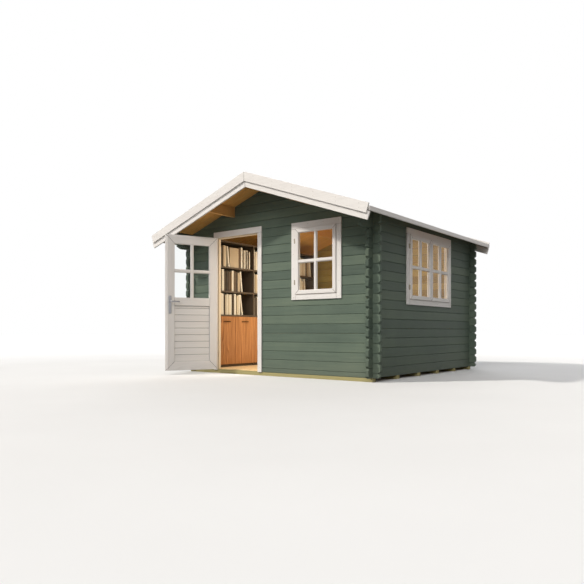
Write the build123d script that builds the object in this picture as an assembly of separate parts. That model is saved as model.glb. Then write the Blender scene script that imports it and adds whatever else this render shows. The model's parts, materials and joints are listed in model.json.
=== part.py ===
from build123d import *
import os
from math import cos, radians, sin, tan

os.makedirs("parts", exist_ok=True)

# Log cabin with a shallow gable roof that reaches forward over the front.
# Millimetres. +X to the right along the front, +Y from front to rear, +Z up.
# The origin is the middle of the front bearer's underside, on the ground.

# Walls of interlocked logs
WALL_WIDTH = 3040.0
WALL_DEPTH = 2960.0
LOG_PITCH = 114.0
LOG_THICKNESS = 40.0
LOG_BEVEL = 6.0
LOG_SEAM = 0.4
LOG_TAIL = 95.0
TAIL_CUT = 26.0
NOTCH_PLAY = 0.3
SIDE_COURSES = 17
BRACKET_COURSES = 2
BRACKET_TAIL = 270.0
BRACKET_CUT_LENGTH = 70.0
BRACKET_CUT_HEIGHT = 30.0

# Bearers and floor
BEARER_WIDTH = 76.0
BEARER_HEIGHT = 44.0
BEARER_COUNT = 6
FLOOR_THICKNESS = 19.0
FLOOR_MARGIN = 5.0

# Roof
ROOF_PITCH = 19.25
EAVE_TRIM = 12.0
DECK_THICKNESS = 16.0
DECK_SEAT = 0.3
FELT_THICKNESS = 4.0
FRONT_OVERHANG = 514.0
REAR_CLEARANCE = 3.0
SIDE_OVERHANG = 234.0
PURLIN_WIDTH = 44.0
PURLIN_HEIGHT = 132.0
PURLIN_OFFSET = 658.0
BARGE_HEIGHT = 92.0
BARGE_THICKNESS = 20.0
BARGE_STEP = 84.0
BARGE_REACH = 250.0
COVER_HEIGHT = 110.0
COVER_REACH = 251.0
COVER_RISE = 32.0
EAVE_BOARD_HEIGHT = 50.0
EAVE_BOARD_THICKNESS = 20.0

# Openings in the walls, counted in whole courses of logs
HEAD_COURSES = 16
FRONT_SILL_COURSES = 8
SIDE_SILL_COURSES = 8
JAMB_THICKNESS = 40.0
TRIM_WIDTH = 67.0
TRIM_THICKNESS = 18.0
HEAD_TRIM_HEIGHT = 79.0
FIT = 0.3

# Door
DOOR_CENTRE = -588.0
DOOR_CLEAR_WIDTH = 750.0
DOOR_SILL_THICKNESS = 8.0
LEAF_THICKNESS = 40.0
LEAF_GAP = 5.5
LEAF_BAR = 119.0
LEAF_REBATE = 18.0
LOCK_RAIL_HEIGHT = 104.0
LOCK_RAIL_CENTRE = 936.0
PANEL_THICKNESS = 16.0
STOP_DEPTH = 33.0
OPEN_ANGLE = 113.0

# Windows
FRONT_WINDOW_CENTRE = 728.0
SIDE_WINDOW_SHIFT = 21.5
WINDOW_HEAD_BAR = 62.0
WINDOW_SILL_BAR = 30.0
SASH_WIDTH = 606.0
SASH_THICKNESS = 46.0
SASH_PROUD = 14.0
SASH_BAR = 45.0
SASH_GAP = 3.0
GLASS_THICKNESS = 4.0

# Hinges
KNUCKLE_RADIUS = 7.0
PIN_RADIUS = 4.0
PIN_PLAY = 0.06
KNUCKLE_LENGTH = 24.0
HINGE_PLATE_WIDTH = 34.0
HINGE_PLATE_THICKNESS = 2.5
HINGE_INSET = 215.0
SASH_HINGE_RADIUS = 6.0
SASH_HINGE_LENGTH = 60.0
SASH_HINGE_INSET = 118.0
SASH_HINGE_PLATE = 20.0

# Door furniture
HANDLE_HEIGHT = 936.0
HANDLE_BACKSET = 56.0
HANDLE_PLATE_WIDTH = 38.0
HANDLE_PLATE_LENGTH = 240.0
HANDLE_PLATE_THICKNESS = 8.0
HANDLE_PLATE_ABOVE = 78.0
SPINDLE_RADIUS = 7.0
SPINDLE_PLAY = 0.08
LEVER_REACH = 46.0
LEVER_LENGTH = 122.0
LEVER_RADIUS = 8.5

# Bookcase against the left wall
CASE_DEPTH = 395.0
CASE_HEIGHT = 1810.0
CASE_BAYS = 3
CASE_FRONT_GAP = 30.0
CASE_REAR_GAP = 428.0
CASE_WALL_GAP = 10.0
CASE_BOARD = 22.0
CASE_DOOR_TOP = 760.0
CASE_SHELVES = (1105.0, 1457.0)
CASE_DOOR_GAP = 3.0
CASE_PLINTH = 70.0
PULL_LENGTH = 180.0
PULL_DEPTH = 24.0
PULL_WIDTH = 12.0
PULL_DROP = 80.0

# Places that follow from the sizes above
FRONT = -BEARER_WIDTH / 2
REAR = FRONT + WALL_DEPTH
MIDDLE = (FRONT + REAR) / 2
HALF_WIDTH = WALL_WIDTH / 2
HALF_DEPTH = WALL_DEPTH / 2
BASE = BEARER_HEIGHT
SLOPE = tan(radians(ROOF_PITCH))
EAVE_Z = BASE + SIDE_COURSES * LOG_PITCH - EAVE_TRIM
APEX_Z = EAVE_Z + HALF_WIDTH * SLOPE
COVER_FRONT = FRONT - FRONT_OVERHANG
COVER_REAR = REAR + LOG_TAIL + REAR_CLEARANCE + 2 * BARGE_THICKNESS
JAMB_FACE = FRONT - TRIM_THICKNESS
LEAF_LEFT = DOOR_CENTRE - DOOR_CLEAR_WIDTH / 2 + LEAF_GAP
LEAF_RIGHT = DOOR_CENTRE + DOOR_CLEAR_WIDTH / 2 - LEAF_GAP
HEAD_Z = BASE + (HEAD_COURSES + 0.5) * LOG_PITCH - JAMB_THICKNESS
LEAF_BOTTOM = BASE + DOOR_SILL_THICKNESS + LEAF_GAP
LEAF_TOP = HEAD_Z - LEAF_GAP
PIN_X = LEAF_LEFT - LEAF_GAP / 2
PIN_Y = JAMB_FACE - FIT - KNUCKLE_RADIUS
SASH_FACE = -TRIM_THICKNESS - SASH_PROUD
CASE_START = FRONT + LOG_THICKNESS + CASE_FRONT_GAP
CASE_LENGTH = WALL_DEPTH - 2 * LOG_THICKNESS - CASE_FRONT_GAP - CASE_REAR_GAP
CASE_BAY_WIDTH = (CASE_LENGTH - CASE_BOARD) / CASE_BAYS


def box(x0, x1, y0, y1, z0, z1):
    """A plain block between two corners."""
    size = Vector(x1 - x0, y1 - y0, z1 - z0)
    return Solid.make_box(size.X, size.Y, size.Z).moved(Location((x0, y0, z0)))


def along_y(outline, y0, y1):
    """An outline in X and Z, carried from y0 to y1."""
    face = Face(Wire.make_polygon([Vector(x, y0, z) for x, z in outline], close=True))
    return Solid.extrude(face, Vector(0, y1 - y0, 0))


def along_x(outline, x0, x1):
    """An outline in Y and Z, carried from x0 to x1."""
    face = Face(Wire.make_polygon([Vector(x0, y, z) for y, z in outline], close=True))
    return Solid.extrude(face, Vector(x1 - x0, 0, 0))


def rod(radius, start, end):
    """A round bar between two points."""
    direction = Vector(*end) - Vector(*start)
    return Solid.make_cylinder(radius, direction.length, Plane(origin=start, z_dir=direction))


def save(name, pieces):
    """Write the pieces of one node."""
    solids = [solid for piece in pieces for solid in piece.solids()]
    shape = solids[0] if len(solids) == 1 else Compound(children=solids)
    export_step(shape, f"parts/{name}.step")
    print(name, len(solids))


def soffit(x):
    """Height of the roof boards' underside above the ground, at a place across the cabin."""
    return APEX_Z - abs(x) * SLOPE


# Logs. A wall is laid out flat: its logs run along X, the outer face is Y = 0,
# the wall's middle is X = 0 and its foot is Z = 0. Then it is turned into place.

class Crossing:
    """A log end that is notched over the crossing wall and runs past it."""

    def __init__(self, half, tail=LOG_TAIL, low_cut=(TAIL_CUT, TAIL_CUT), high_cut=(TAIL_CUT, TAIL_CUT)):
        self.inner = half - LOG_THICKNESS - NOTCH_PLAY
        self.outer = half + NOTCH_PLAY
        self.tip = half + tail
        self.low_cut = low_cut
        self.high_cut = high_cut

    def outline(self, low, core_low, core_high, high):
        """Points of a right-hand end, from the log's lower edge to its upper edge."""
        points = [(self.inner, low)]
        if core_low > low:
            points += [(self.inner, core_low), (self.outer, core_low), (self.outer, low)]
        points += [(self.tip - self.low_cut[0], low)]
        if self.low_cut[1] > 0:
            points += [(self.tip, low + self.low_cut[1])]
        if self.high_cut[1] > 0:
            points += [(self.tip, high - self.high_cut[1])]
        points += [(self.tip - self.high_cut[0], high)]
        if core_high < high:
            points += [(self.outer, high), (self.outer, core_high), (self.inner, core_high)]
        return points + [(self.inner, high)]


class Flush:
    """A gable log end that sits on the side wall's core and stops at its outer face."""

    def __init__(self, half):
        self.inner = half - LOG_THICKNESS - NOTCH_PLAY
        self.tip = half

    def outline(self, low, core_low, core_high, high):
        return [(self.inner, low), (self.inner, core_low), (self.tip, core_low), (self.tip, high)]


class Square:
    """A log end sawn off square, beside a door, a window or a gable's slope."""

    def __init__(self, place):
        self.place = place

    def outline(self, low, core_low, core_high, high):
        return [(self.place, low), (self.place, high)]


def mirrored(points):
    return [(-x, z) for x, z in reversed(points)]


def make_log(low, high, left, right, foot=False, crown=0.0):
    """One log between two heights of its wall. A crown is extra height that the roof cuts."""
    bottom = low + (0 if foot else LOG_SEAM / 2)
    top = high + crown - LOG_SEAM / 2
    core_low = bottom if foot else low + LOG_PITCH / 4 + LOG_SEAM / 2
    core_high = high - LOG_PITCH / 4 - LOG_SEAM / 2
    outline = right.outline(bottom, core_low, core_high, top)
    start = left.outline(bottom, core_low, core_high, top)
    outline += list(reversed(start)) if isinstance(left, Square) else mirrored(start)
    reach = max(abs(x) for x, _ in outline) + 1
    inner = LOG_THICKNESS - LOG_BEVEL
    section = [
        (0, bottom + LOG_BEVEL), (LOG_BEVEL, bottom), (inner, bottom), (LOG_THICKNESS, bottom + LOG_BEVEL),
        (LOG_THICKNESS, top - LOG_BEVEL), (inner, top), (LOG_BEVEL, top), (0, top - LOG_BEVEL)]
    return along_y(outline, 0, LOG_THICKNESS) & along_x(section, -reach, reach)


def course_limits(index, half_step):
    """Lower and upper edge of a course. Front and rear start with half a log."""
    low = (index - 0.5 if half_step else index) * LOG_PITCH
    return max(low, 0), (low + LOG_PITCH)


def wall_logs(index, half_step, left, right, holes, crown=0.0):
    """The logs of one course: whole, or in stretches beside the holes that it meets."""
    low, high = course_limits(index, half_step)
    ends = [left]
    for start, end, sill, head in sorted(holes):
        if sill < (low + high) / 2 < head:
            ends += [Square(start), Square(end)]
    ends += [right]
    foot = half_step and index == 0
    return [make_log(low, high, ends[i], ends[i + 1], foot, crown) for i in range(0, len(ends), 2)]


def placed(pieces, x, y, turn):
    return [piece.moved(Location((x, y, BASE), (0, 0, turn))) for piece in pieces]


def sill_z(courses, half_step):
    """Height of a joint between courses above the walls' foot."""
    return (courses + (0.5 if half_step else 0)) * LOG_PITCH


DOOR_CUT_HALF = DOOR_CLEAR_WIDTH / 2 + JAMB_THICKNESS
FRONT_CUT_HALF = SASH_WIDTH / 2 + SASH_GAP + JAMB_THICKNESS
SIDE_CUT_HALF = SASH_WIDTH + 1.5 * SASH_GAP + JAMB_THICKNESS
FRONT_HEAD = sill_z(HEAD_COURSES, True)
SIDE_HEAD = sill_z(HEAD_COURSES, False)
DOOR_HOLE = (DOOR_CENTRE - DOOR_CUT_HALF, DOOR_CENTRE + DOOR_CUT_HALF, 0, FRONT_HEAD)
FRONT_HOLE = (FRONT_WINDOW_CENTRE - FRONT_CUT_HALF, FRONT_WINDOW_CENTRE + FRONT_CUT_HALF,
              sill_z(FRONT_SILL_COURSES, True), FRONT_HEAD)
SIDE_HOLE = (SIDE_WINDOW_SHIFT - SIDE_CUT_HALF, SIDE_WINDOW_SHIFT + SIDE_CUT_HALF,
             sill_z(SIDE_SILL_COURSES, False), SIDE_HEAD)


def front_wall():
    """Logs left of the door and right of it, up to the door's head."""
    left, right = [], []
    for index in range(HEAD_COURSES + 1):
        corner = Crossing(HALF_WIDTH)
        logs = wall_logs(index, True, corner, corner, [DOOR_HOLE, FRONT_HOLE])
        left += logs[:1]
        right += logs[1:]
    return placed(left, 0, FRONT, 0), placed(right, 0, FRONT, 0)


def purlin_outline(centre):
    """Section of a purlin: plumb sides, level underside, top planed to the roof."""
    low = soffit(centre) - PURLIN_HEIGHT
    left, right = centre - PURLIN_WIDTH / 2, centre + PURLIN_WIDTH / 2
    top = [(x, soffit(x) - DECK_SEAT) for x in (right, 0, left) if left <= x <= right]
    return [(left, low), (right, low)] + top


def gable_logs():
    """Courses above the door's head, sawn to the roof's slope and housed round the purlins."""
    reach = HALF_WIDTH + LOG_TAIL
    slope_cut = along_y([
        (-reach, soffit(reach) - DECK_SEAT - BASE), (-reach, 0), (reach, 0),
        (reach, soffit(reach) - DECK_SEAT - BASE), (0, APEX_Z - DECK_SEAT - BASE)],
        -1, LOG_THICKNESS + 1)
    pockets = []
    for centre in (-PURLIN_OFFSET, 0, PURLIN_OFFSET):
        half = PURLIN_WIDTH / 2 + NOTCH_PLAY
        low = soffit(centre) - PURLIN_HEIGHT - NOTCH_PLAY - BASE
        pockets.append(box(centre - half, centre + half, -1, LOG_THICKNESS + 1, low, APEX_Z))
    logs = []
    index = HEAD_COURSES + 1
    while course_limits(index, True)[0] + 2 * LOG_BEVEL < APEX_Z - BASE:
        low, high = course_limits(index, True)
        end = Flush(HALF_WIDTH) if index == HEAD_COURSES + 1 else Square((APEX_Z - BASE - low) / SLOPE)
        start = end if isinstance(end, Flush) else Square(-end.place)
        log = make_log(low, high, start, end) & slope_cut
        for pocket in pockets:
            log = log - pocket
        logs += log.solids()
        index += 1
    return [log for log in logs if log.volume > LOG_PITCH ** 2]


def side_wall(turn, holes):
    """A side wall. Its top courses run forward as brackets under the roof's overhang."""
    front_is_right = turn < 0
    logs = []
    for index in range(SIDE_COURSES):
        rear_end = Crossing(HALF_DEPTH)
        front_end = rear_end
        level = index - (SIDE_COURSES - BRACKET_COURSES)
        if level >= 0:
            low_cut = (BRACKET_CUT_LENGTH, BRACKET_CUT_HEIGHT) if level == 0 else (0, 0)
            front_end = Crossing(HALF_DEPTH, BRACKET_TAIL, low_cut, (0, 0))
        ends = (rear_end, front_end) if front_is_right else (front_end, rear_end)
        crown = LOG_THICKNESS * SLOPE - EAVE_TRIM if index == SIDE_COURSES - 1 else 0
        logs += wall_logs(index, False, *ends, holes, crown)
    return logs


def roof_underside_cut():
    """Everything above the roof boards' underside, out to past the eaves."""
    reach = HALF_WIDTH + SIDE_OVERHANG
    high = APEX_Z + LOG_PITCH
    outline = [(-reach, soffit(reach) - DECK_SEAT), (0, APEX_Z - DECK_SEAT),
               (reach, soffit(reach) - DECK_SEAT), (reach, high), (-reach, high)]
    return along_y(outline, COVER_FRONT, COVER_REAR)


def walls():
    left, right = front_wall()
    save("front_wall_left", left)
    save("front_wall_right", right)
    gable = gable_logs()
    save("front_gable", placed(gable, 0, FRONT, 0))
    rear = []
    for index in range(HEAD_COURSES + 1):
        corner = Crossing(HALF_WIDTH)
        rear += wall_logs(index, True, corner, corner, [])
    save("rear_wall", placed(rear, 0, REAR, 180))
    save("rear_gable", placed(gable, 0, REAR, 180))
    cut = roof_underside_cut()
    sides = (("left_wall", -HALF_WIDTH, -90, []), ("right_wall", HALF_WIDTH, 90, [SIDE_HOLE]))
    for name, x, turn, holes in sides:
        logs = placed(side_wall(turn, holes), x, MIDDLE, turn)
        logs = [log - cut if log.bounding_box().max.Z > EAVE_Z - LOG_PITCH / 2 else log for log in logs]
        save(name, logs)


# Base

def base():
    pitch = (WALL_DEPTH - BEARER_WIDTH) / (BEARER_COUNT - 1)
    bearers = [box(-HALF_WIDTH, HALF_WIDTH, i * pitch - BEARER_WIDTH / 2, i * pitch + BEARER_WIDTH / 2,
                   0, BEARER_HEIGHT) for i in range(BEARER_COUNT)]
    save("floor_bearers", bearers)
    inset = LOG_THICKNESS + FLOOR_MARGIN
    save("floor", [box(-HALF_WIDTH + inset, HALF_WIDTH - inset, FRONT + inset, REAR - inset,
                       BASE, BASE + FLOOR_THICKNESS)])


# Roof

def sloped_board(top_at_apex, height, bottom_end, side):
    """A barge board seen from the front: plumb at the ridge, square at the eave end."""
    rise = height / cos(radians(ROOF_PITCH))
    lean = height * sin(radians(ROOF_PITCH))
    drop = height * cos(radians(ROOF_PITCH))
    ridge = side * FIT / 2
    foot = (side * bottom_end, top_at_apex - rise - bottom_end * SLOPE)
    tip = (foot[0] + side * lean, foot[1] + drop)
    return [(ridge, top_at_apex), (ridge, top_at_apex - rise), foot, tip]


def roof():
    lift = DECK_THICKNESS / cos(radians(ROOF_PITCH))
    felt_lift = FELT_THICKNESS / cos(radians(ROOF_PITCH))
    edge = HALF_WIDTH + SIDE_OVERHANG
    deck_front = COVER_FRONT + BARGE_THICKNESS + FIT
    deck_rear = COVER_REAR - BARGE_THICKNESS - FIT
    felt = []
    for name, side in (("left", -1), ("right", 1)):
        ridge, eave = side * FIT / 2, side * edge
        deck = [(ridge, soffit(ridge)), (eave, soffit(eave)), (eave, soffit(eave) + lift),
                (ridge, soffit(ridge) + lift)]
        save(f"roof_boards_{name}", [along_y(deck, deck_front, deck_rear)])
        felt_outline = [(x, z + lift + rise) for x, z, rise in (
            (ridge, soffit(ridge), 0), (eave, soffit(eave), 0),
            (eave, soffit(eave), felt_lift), (ridge, soffit(ridge), felt_lift))]
        felt.append(along_y(felt_outline, deck_front, deck_rear))
        inner, outer = side * (edge + FIT), side * (edge + FIT + EAVE_BOARD_THICKNESS)
        top = soffit(edge) + lift
        save(f"eave_board_{name}", [box(min(inner, outer), max(inner, outer), deck_front, deck_rear,
                                        top - EAVE_BOARD_HEIGHT, top)])
    save("roof_felt", felt)

    purlin_front = COVER_FRONT + 2 * BARGE_THICKNESS + FIT
    purlin_rear = COVER_REAR - 2 * BARGE_THICKNESS - FIT
    purlins = (("purlin_left", -PURLIN_OFFSET), ("ridge_purlin", 0), ("purlin_right", PURLIN_OFFSET))
    for name, centre in purlins:
        save(name, [along_y(purlin_outline(centre), purlin_front, purlin_rear)])

    cover_top = APEX_Z + lift + COVER_RISE / cos(radians(ROOF_PITCH))
    barge_top = cover_top - BARGE_STEP / cos(radians(ROOF_PITCH))
    boards = (("cover", cover_top, COVER_HEIGHT, COVER_REACH, 0),
              ("barge", barge_top, BARGE_HEIGHT, BARGE_REACH, BARGE_THICKNESS))
    for kind, top, height, reach, setback in boards:
        foot = HALF_WIDTH + reach - height * sin(radians(ROOF_PITCH))
        outlines = [sloped_board(top, height, foot, side) for side in (-1, 1)]
        front = COVER_FRONT + setback
        rear = COVER_REAR - setback
        save(f"front_{kind}_boards", [along_y(o, front, front + BARGE_THICKNESS) for o in outlines])
        save(f"rear_{kind}_boards", [along_y(o, rear - BARGE_THICKNESS, rear) for o in outlines])


# Frames and trims, laid out like a wall: X across, outer face Y = 0, Z up from the wall's foot

def mitred_ring(x0, x1, z0, z1, bar, y0, y1):
    """Four mitred bars round a rectangle: left, foot, right and head."""
    g = FIT / 2
    left = [(x0, z0 + g), (x0 + bar, z0 + bar + g), (x0 + bar, z1 - bar - g), (x0, z1 - g)]
    low = [(x0 + g, z0), (x1 - g, z0), (x1 - bar - g, z0 + bar), (x0 + bar + g, z0 + bar)]
    right = [(x0 + x1 - x, z) for x, z in left]
    high = [(x, z0 + z1 - z) for x, z in low]
    return [along_y(outline, y0, y1) for outline in (left, low, right, high)]


def trim_boards(x0, x1, foot, head, outside):
    """Two posts and a head board round an opening, flush with the inner faces of its frame."""
    y0, y1 = (-TRIM_THICKNESS, 0) if outside else (LOG_THICKNESS, LOG_THICKNESS + TRIM_THICKNESS)
    left, right = x0 + JAMB_THICKNESS, x1 - JAMB_THICKNESS
    return [box(left - TRIM_WIDTH, left, y0, y1, foot, head - FIT),
            box(right, right + TRIM_WIDTH, y0, y1, foot, head - FIT),
            box(left - TRIM_WIDTH, right + TRIM_WIDTH, y0, y1, head, head + HEAD_TRIM_HEIGHT)]


def window_boards(hole, outside):
    """The trim round a window: its lowest board lies between the posts."""
    x0, x1, z0, z1 = hole
    sill_top = z0 + WINDOW_SILL_BAR
    posts_and_head = trim_boards(x0, x1, sill_top - TRIM_WIDTH, z1 - WINDOW_HEAD_BAR, outside)
    y0, y1 = (-TRIM_THICKNESS, 0) if outside else (LOG_THICKNESS, LOG_THICKNESS + TRIM_THICKNESS)
    return posts_and_head + [box(x0 + JAMB_THICKNESS + FIT, x1 - JAMB_THICKNESS - FIT, y0, y1,
                                 sill_top - TRIM_WIDTH, sill_top)]


def window_frame(hole):
    """Two posts with a sill bar and a head bar between them, in the thickness of the wall."""
    x0, x1, z0, z1 = hole[0] + FIT, hole[1] - FIT, hole[2] + FIT, hole[3] - FIT
    left, right = hole[0] + JAMB_THICKNESS, hole[1] - JAMB_THICKNESS
    return [box(x0, left, 0, LOG_THICKNESS, z0, z1),
            box(right, x1, 0, LOG_THICKNESS, z0, z1),
            box(left + FIT, right - FIT, 0, LOG_THICKNESS, z0, hole[2] + WINDOW_SILL_BAR),
            box(left + FIT, right - FIT, 0, LOG_THICKNESS, hole[3] - WINDOW_HEAD_BAR, z1)]


def sash_hinge(edge, side, low):
    """A small barrel beside the sash's edge, with a plate on the trim. Side is where the trim lies."""
    face = -TRIM_THICKNESS - FIT
    x = edge + side * (FIT + SASH_HINGE_RADIUS)
    high = low + SASH_HINGE_LENGTH
    barrel = rod(SASH_HINGE_RADIUS, (x, face - SASH_HINGE_RADIUS, low), (x, face - SASH_HINGE_RADIUS, high))
    plate_end = x + side * SASH_HINGE_PLATE
    return barrel + box(min(x, plate_end), max(x, plate_end), face - HINGE_PLATE_THICKNESS, face, low, high)


def window(name, hole, sash_lefts, place):
    """Frame, trims, sashes and glass of one window. Returns its hinges."""
    save(f"{name}_frame", placed(window_frame(hole), *place))
    save(f"{name}_trim", placed(window_boards(hole, True) + window_boards(hole, False), *place))
    low = hole[2] + WINDOW_SILL_BAR + SASH_GAP
    high = hole[3] - WINDOW_HEAD_BAR - SASH_GAP
    bars, panes = [], []
    for x in sash_lefts:
        bars += mitred_ring(x, x + SASH_WIDTH, low, high, SASH_BAR, SASH_FACE, SASH_FACE + SASH_THICKNESS)
        mid = SASH_FACE + SASH_THICKNESS / 2
        rim = SASH_BAR + FIT
        panes.append(box(x + rim, x + SASH_WIDTH - rim, mid - GLASS_THICKNESS / 2, mid + GLASS_THICKNESS / 2,
                         low + rim, high - rim))
    save(f"{name}_sash", placed(bars, *place))
    save(f"{name}_glass", placed(panes, *place))
    hinges = [sash_hinge(sash_lefts[0], -1, z) for z in (low + SASH_HINGE_INSET,
                                                         high - SASH_HINGE_INSET - SASH_HINGE_LENGTH)]
    if len(sash_lefts) > 1:
        hinges += [sash_hinge(sash_lefts[-1] + SASH_WIDTH, 1, z) for z in (
            low + SASH_HINGE_INSET, high - SASH_HINGE_INSET - SASH_HINGE_LENGTH)]
    return placed(hinges, *place)


def windows():
    left = FRONT_HOLE[0] + JAMB_THICKNESS + SASH_GAP
    hinges = window("front_window", FRONT_HOLE, [left], (0, FRONT, 0))
    left = SIDE_HOLE[0] + JAMB_THICKNESS + SASH_GAP
    pair = [left, left + SASH_WIDTH + SASH_GAP]
    hinges += window("side_window", SIDE_HOLE, pair, (HALF_WIDTH, MIDDLE, 90))
    save("window_hinges", hinges)


# Door

def swung(pieces):
    """The door's pieces are made closed, then swung open about the hinge pin."""
    axis = Axis((PIN_X, PIN_Y, 0), (0, 0, 1))
    return [piece.rotate(axis, -OPEN_ANGLE) for piece in pieces]


def door_frame():
    x0, x1, _, z1 = DOOR_HOLE
    z1 = z1 + BASE
    post = JAMB_THICKNESS - FIT
    clear_left, clear_right = x0 + JAMB_THICKNESS, x1 - JAMB_THICKNESS
    pieces = [box(x0 + FIT, x0 + FIT + post, FRONT, FRONT + LOG_THICKNESS, BASE, z1 - FIT),
              box(x1 - FIT - post, x1 - FIT, FRONT, FRONT + LOG_THICKNESS, BASE, z1 - FIT),
              box(clear_left + FIT, clear_right - FIT, FRONT, FRONT + LOG_THICKNESS, HEAD_Z, z1 - FIT)]
    stop = LEAF_REBATE
    back = FRONT + LOG_THICKNESS
    near = back - STOP_DEPTH
    low, high = BASE + DOOR_SILL_THICKNESS + FIT, HEAD_Z - FIT
    pieces += [box(clear_left + FIT, clear_left + stop, near, back, low, high),
               box(clear_right - stop, clear_right - FIT, near, back, low, high),
               box(clear_left + stop + FIT, clear_right - stop - FIT, near, back, HEAD_Z - stop, high)]
    save("door_frame", pieces)
    sill_rear = FRONT + LOG_THICKNESS + FLOOR_MARGIN - FIT
    save("door_sill", [box(clear_left + FIT, clear_right - FIT, FRONT, sill_rear, BASE,
                           BASE + DOOR_SILL_THICKNESS)])
    boards = trim_boards(x0, x1, 0, HEAD_Z - BASE, True)
    boards += trim_boards(x0, x1, FLOOR_THICKNESS, HEAD_Z - BASE, False)
    save("door_trim", placed(boards, 0, FRONT, 0))


def hole_through(x, z):
    """A round cutter across the leaf and both handle plates."""
    start = JAMB_FACE - 2 * HANDLE_PLATE_THICKNESS
    end = JAMB_FACE + LEAF_THICKNESS + 2 * HANDLE_PLATE_THICKNESS
    return rod(SPINDLE_RADIUS + SPINDLE_PLAY, (x, start, z), (x, end, z))


def door_leaf():
    """A mitred frame with a lock rail. Its rear half is rebated, so its front half laps the stops."""
    x0, x1, z0, z1 = LEAF_LEFT, LEAF_RIGHT, LEAF_BOTTOM, LEAF_TOP
    back = JAMB_FACE + LEAF_THICKNESS
    mid = JAMB_FACE + LEAF_THICKNESS / 2
    spindle_x = x1 - HANDLE_BACKSET
    spindle_z = BASE + HANDLE_HEIGHT
    hole = hole_through(spindle_x, spindle_z)
    rear_half = box(x0 + LEAF_REBATE, x1 - LEAF_REBATE, mid, back, z0, z1 - LEAF_REBATE)
    front_half = box(x0, x1, JAMB_FACE, mid, z0, z1)
    profile = front_half + rear_half - hole
    bars = [bar & profile for bar in mitred_ring(x0, x1, z0, z1, LEAF_BAR, JAMB_FACE, back)]
    inner_left, inner_right = x0 + LEAF_BAR + FIT, x1 - LEAF_BAR - FIT
    lock_low = BASE + LOCK_RAIL_CENTRE - LOCK_RAIL_HEIGHT / 2
    lock_high = lock_low + LOCK_RAIL_HEIGHT
    bars.append(box(inner_left, inner_right, JAMB_FACE, back, lock_low, lock_high))
    save("door_leaf", swung(bars))

    panel = box(inner_left, inner_right, mid - PANEL_THICKNESS / 2, mid + PANEL_THICKNESS / 2,
                LEAF_BOTTOM + LEAF_BAR + FIT, lock_low - FIT)
    save("door_panel", swung([panel]))
    glass = box(inner_left, inner_right, mid - GLASS_THICKNESS / 2, mid + GLASS_THICKNESS / 2,
                lock_high + FIT, LEAF_TOP - LEAF_BAR - FIT)
    save("door_glass", swung([glass]))

    plate_low = spindle_z + HANDLE_PLATE_ABOVE - HANDLE_PLATE_LENGTH
    plates = []
    for near, far in ((JAMB_FACE - FIT - HANDLE_PLATE_THICKNESS, JAMB_FACE - FIT),
                      (back + FIT, back + FIT + HANDLE_PLATE_THICKNESS)):
        plate = box(spindle_x - HANDLE_PLATE_WIDTH / 2, spindle_x + HANDLE_PLATE_WIDTH / 2, near, far,
                    plate_low, plate_low + HANDLE_PLATE_LENGTH)
        plates.append(plate - hole)
    save("door_handle_plates", swung(plates))
    lever = rod(SPINDLE_RADIUS, (spindle_x, JAMB_FACE - LEVER_REACH, spindle_z),
                (spindle_x, back + LEVER_REACH, spindle_z))
    for y in (JAMB_FACE - LEVER_REACH, back + LEVER_REACH):
        root, tip = spindle_x + LEVER_RADIUS, spindle_x - LEVER_LENGTH
        lever = lever + rod(LEVER_RADIUS, (root, y, spindle_z), (tip, y, spindle_z))
    save("door_lever", swung([lever]))


def door_hinges():
    """Lift-off hinges: pin and lower knuckle on the frame, upper knuckle on the leaf."""
    frame_side, leaf_side = [], []
    for z in (LEAF_BOTTOM + HINGE_INSET, LEAF_TOP - HINGE_INSET):
        low, high = z - KNUCKLE_LENGTH, z + KNUCKLE_LENGTH
        face = JAMB_FACE - FIT
        front = face - HINGE_PLATE_THICKNESS
        knuckle = rod(KNUCKLE_RADIUS, (PIN_X, PIN_Y, low), (PIN_X, PIN_Y, z))
        plate = box(PIN_X - HINGE_PLATE_WIDTH, PIN_X, front, face, low, z)
        pin = rod(PIN_RADIUS, (PIN_X, PIN_Y, z), (PIN_X, PIN_Y, high - 2))
        frame_side.append(knuckle + plate + pin)
        knuckle = rod(KNUCKLE_RADIUS, (PIN_X, PIN_Y, z + FIT), (PIN_X, PIN_Y, high))
        plate = box(PIN_X, PIN_X + HINGE_PLATE_WIDTH, front, face, z + FIT, high)
        bore = rod(PIN_RADIUS + PIN_PLAY, (PIN_X, PIN_Y, z - 1), (PIN_X, PIN_Y, high + 1))
        leaf_side.append((knuckle + plate) - bore)
    save("hinges_frame_side", frame_side)
    save("hinges_leaf_side", swung(leaf_side))


# Bookcase

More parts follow.
